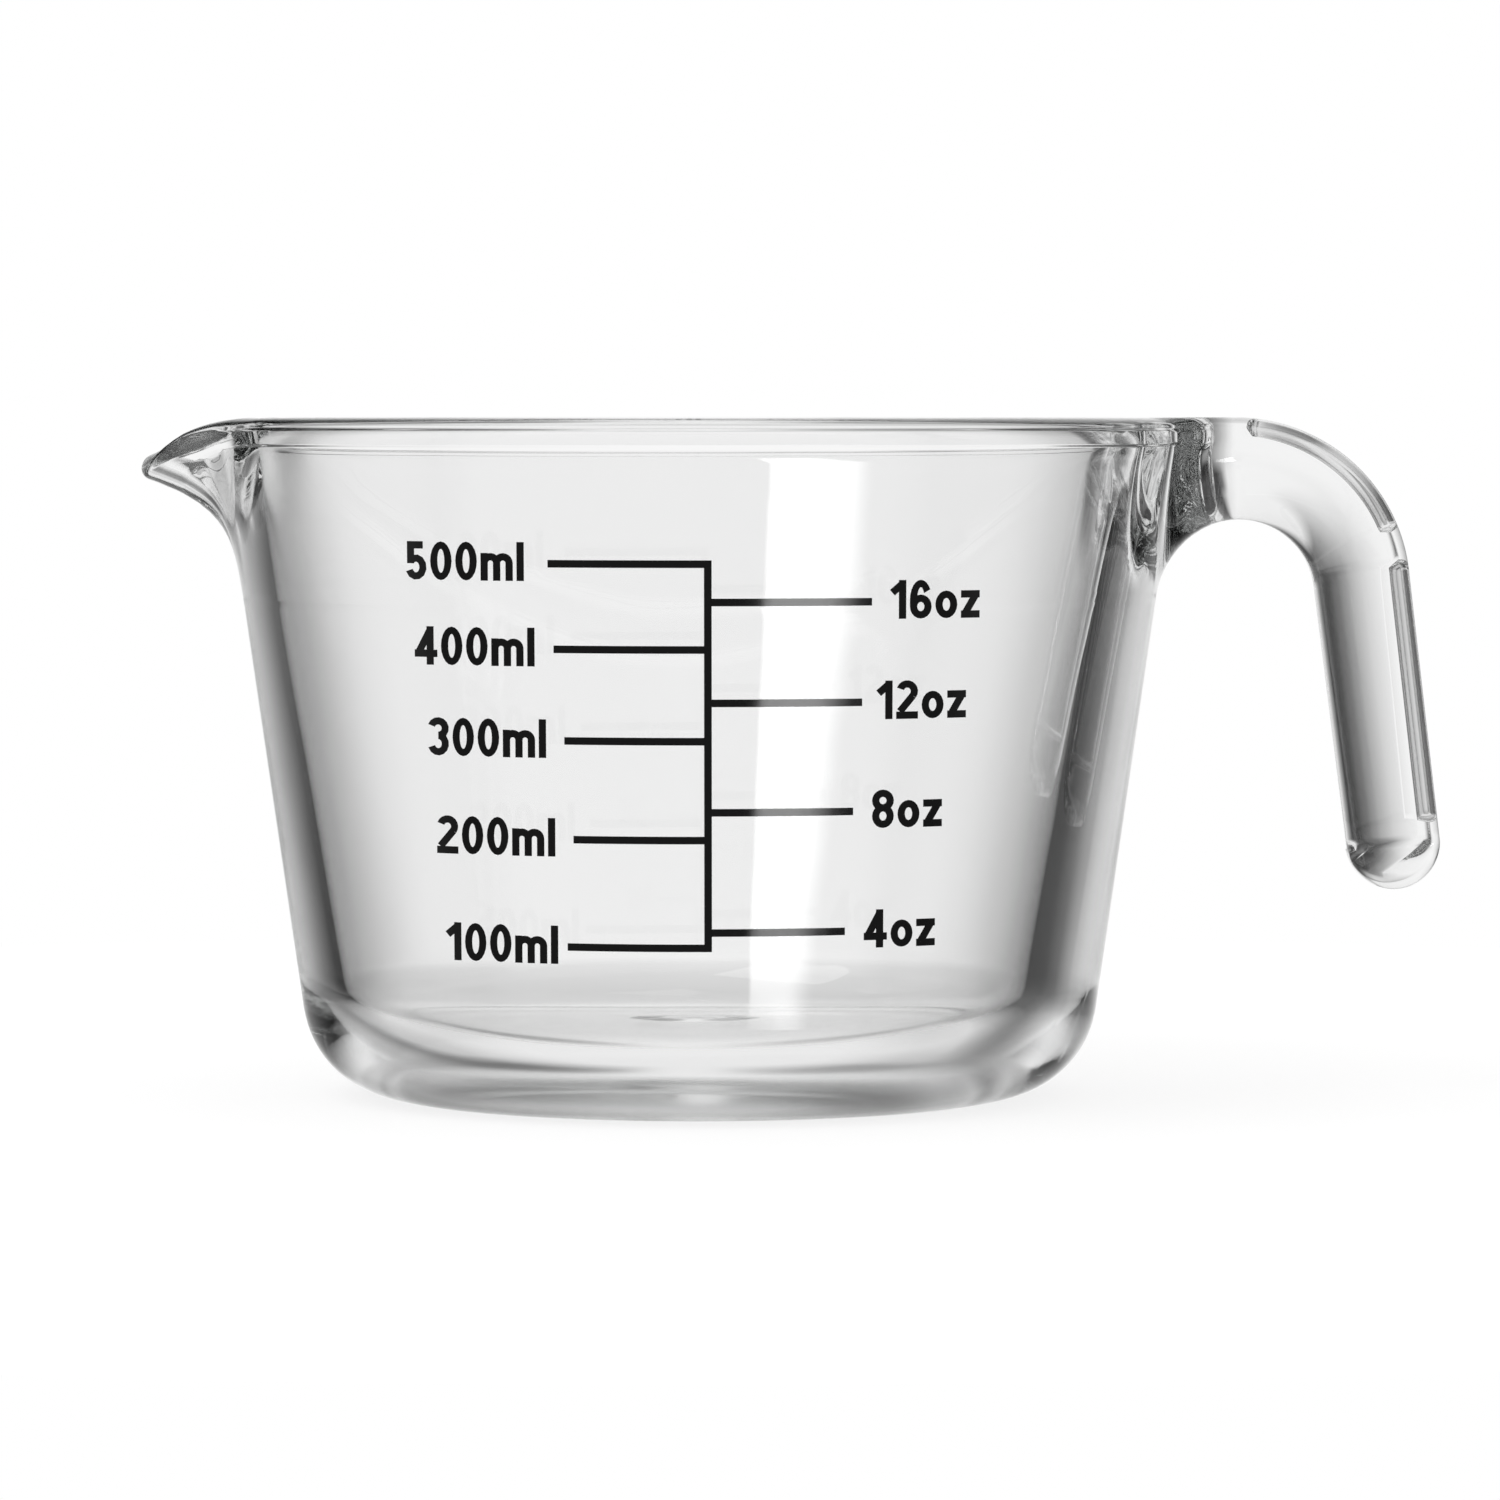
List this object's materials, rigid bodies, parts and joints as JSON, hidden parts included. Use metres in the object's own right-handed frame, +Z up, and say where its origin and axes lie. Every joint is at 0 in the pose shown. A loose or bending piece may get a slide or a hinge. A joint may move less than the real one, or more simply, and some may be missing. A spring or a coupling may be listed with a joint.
{
  "type": "measuring jug",
  "caption": "Clear pressed-glass measuring jug with a pouring lip, an open strap handle, a thick floor and a black printed volume scale.",
  "frame": {"origin": "centre of the base, on the plane that the jug rests on, on the axis of the vessel's outside", "axes": "+Z up, +X towards the handle, -X towards the pouring lip, -Y towards the printed scale"},
  "size_m": [0.1722, 0.1276, 0.0901],
  "materials": {
    "clear_glass": "clear polished pressed glass",
    "black_enamel": "black fired enamel print"
  },
  "bodies": {
    "root": {"vessel": "clear_glass", "handle": "clear_glass", "scale_stem": "black_enamel", "line_500ml": "black_enamel", "line_400ml": "black_enamel", "line_300ml": "black_enamel", "line_200ml": "black_enamel", "line_100ml": "black_enamel", "line_16oz": "black_enamel", "line_12oz": "black_enamel", "line_8oz": "black_enamel", "line_4oz": "black_enamel", "label_500ml": "black_enamel", "label_400ml": "black_enamel", "label_300ml": "black_enamel", "label_200ml": "black_enamel", "label_100ml": "black_enamel", "label_16oz": "black_enamel", "label_12oz": "black_enamel", "label_8oz": "black_enamel", "label_4oz": "black_enamel"}
  },
  "joints": []
}
